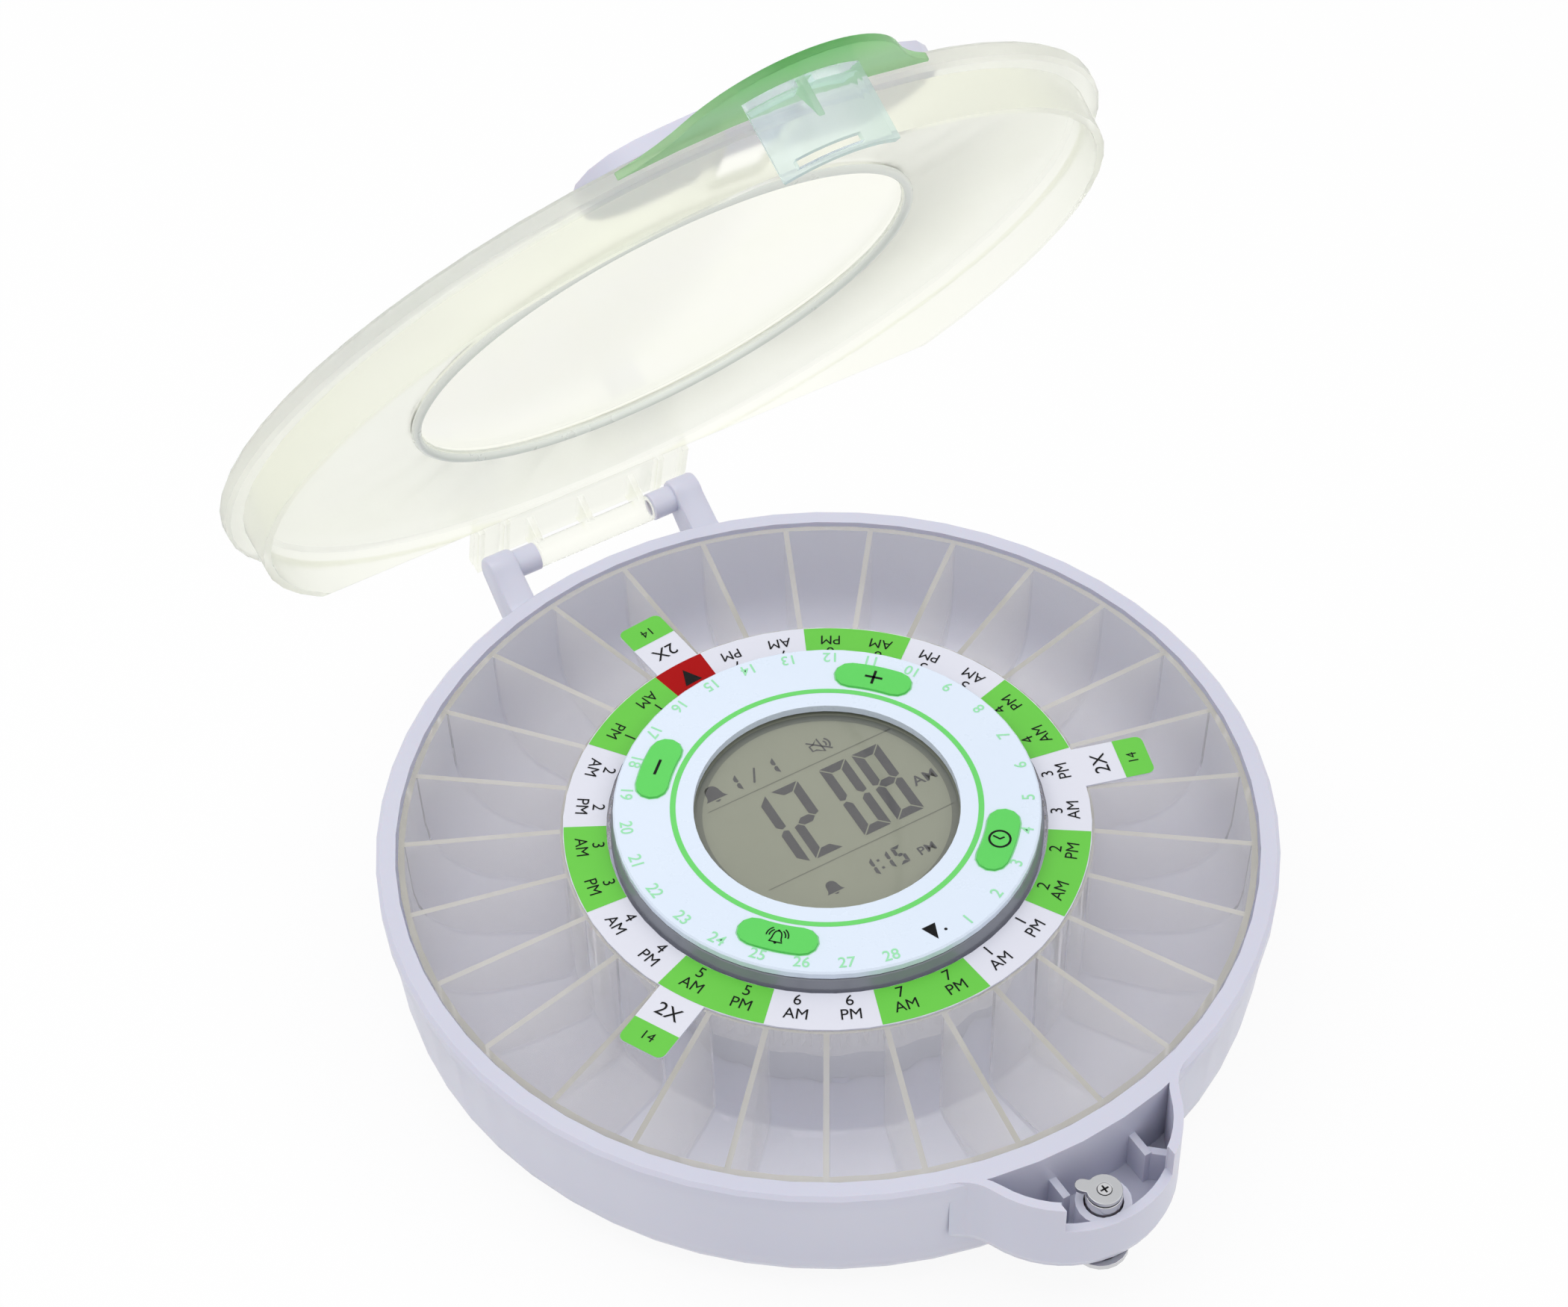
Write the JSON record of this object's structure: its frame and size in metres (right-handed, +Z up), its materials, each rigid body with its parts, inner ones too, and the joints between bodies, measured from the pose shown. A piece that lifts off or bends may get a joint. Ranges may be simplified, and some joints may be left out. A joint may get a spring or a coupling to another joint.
{
  "type": "electronic pill box",
  "caption": "Round tabletop pill box with a turning ring of dose compartments, a central clock unit with keys, a key lock and a hinged frosted lid, shown open.",
  "frame": {"origin": "centre of the bowl on its flat underside", "axes": "+Z up along the tray's turning axis, -Y towards the lock, +Y towards the lid hinge"},
  "size_m": [0.1952, 0.222, 0.2329],
  "materials": {
    "lavender_plastic": "satin moulded",
    "pale_grey_plastic": "matt moulded",
    "grey_ring": "satin",
    "white_face": "smooth printed",
    "green_key": "matt",
    "clear_lens": "clear polished",
    "display_glass": "smooth",
    "circuit_board": "matt",
    "black_plastic": "matt",
    "plated_steel": "plated",
    "clear_tray_plastic": "clear moulded",
    "printed_label": "printed",
    "frosted_lid_plastic": "frosted",
    "clear_lid_plastic": "clear polished",
    "green_clear_plastic": "tinted clear",
    "battery_jacket": "printed sleeve",
    "white_gear_plastic": "matt moulded"
  },
  "bodies": {
    "base": {"base_bowl": "lavender_plastic", "battery_cell_1": "battery_jacket", "battery_cell_2": "battery_jacket", "battery_cell_3": "battery_jacket", "battery_cell_4": "battery_jacket", "battery_contact_back": "plated_steel", "battery_contact_front": "plated_steel", "battery_door": "lavender_plastic", "battery_door_screw": "plated_steel", "bezel_ring": "grey_ring", "buzzer": "black_plastic", "circuit_board": "circuit_board", "control_housing": "pale_grey_plastic", "display_lens": "clear_lens", "faceplate": "white_face", "gearmotor": "plated_steel", "housing_screw_1": "plated_steel", "housing_screw_2": "plated_steel", "housing_screw_3": "plated_steel", "housing_screw_4": "plated_steel", "lcd_holder": "pale_grey_plastic", "lcd_panel": "display_glass", "lock_body": "plated_steel", "switch_bell": "black_plastic", "switch_clock": "black_plastic", "switch_minus": "black_plastic", "switch_plus": "black_plastic"},
    "tray": {"tray": "clear_tray_plastic", "label_disc": "printed_label"},
    "drive": {"drive_gear": "white_gear_plastic"},
    "lid": {"lid_shell": "frosted_lid_plastic", "lid_window": "clear_lid_plastic", "lid_nose": "green_clear_plastic", "latch_plate": "clear_lid_plastic", "outlet_hood": "lavender_plastic"},
    "lock_core": {"lock_plug": "plated_steel", "lock_cam": "plated_steel", "cam_screw": "plated_steel"},
    "key_bell": {"button_bell": "green_key"},
    "key_clock": {"button_clock": "green_key"},
    "key_minus": {"button_minus": "green_key"},
    "key_plus": {"button_plus": "green_key"}
  },
  "joints": [
    {"name": "lid_hinge", "type": "hinge", "parent": "base", "child": "lid", "pos_m": [0, 0.1017, 0.0365], "axis": [-1, 0, 0], "range_deg": [-61, 29]},
    {"name": "tray_turn", "type": "hinge", "parent": "base", "child": "tray", "pos_m": [0, 0, 0], "axis": [0, 0, 1], "continuous": true},
    {"name": "drive_turn", "type": "hinge", "parent": "base", "child": "drive", "pos_m": [0, 0.0354, 0], "axis": [0, 0, 1], "continuous": true},
    {"name": "lock_turn", "type": "hinge", "parent": "base", "child": "lock_core", "pos_m": [-0.0014, -0.1049, 0], "axis": [0, 0, 1], "range_deg": [0, 135]},
    {"name": "press_bell", "type": "slide", "parent": "base", "child": "key_bell", "axis": [0, 0, -1], "range_m": [0, 0.0006], "stiffness_N_per_m": 1200},
    {"name": "press_clock", "type": "slide", "parent": "base", "child": "key_clock", "axis": [0, 0, -1], "range_m": [0, 0.0006], "stiffness_N_per_m": 1200},
    {"name": "press_minus", "type": "slide", "parent": "base", "child": "key_minus", "axis": [0, 0, -1], "range_m": [0, 0.0006], "stiffness_N_per_m": 1200},
    {"name": "press_plus", "type": "slide", "parent": "base", "child": "key_plus", "axis": [0, 0, -1], "range_m": [0, 0.0006], "stiffness_N_per_m": 1200}
  ],
  "couplings": [
    {"joint": "drive_turn", "follows": "tray_turn", "ratio": 3.95}
  ]
}
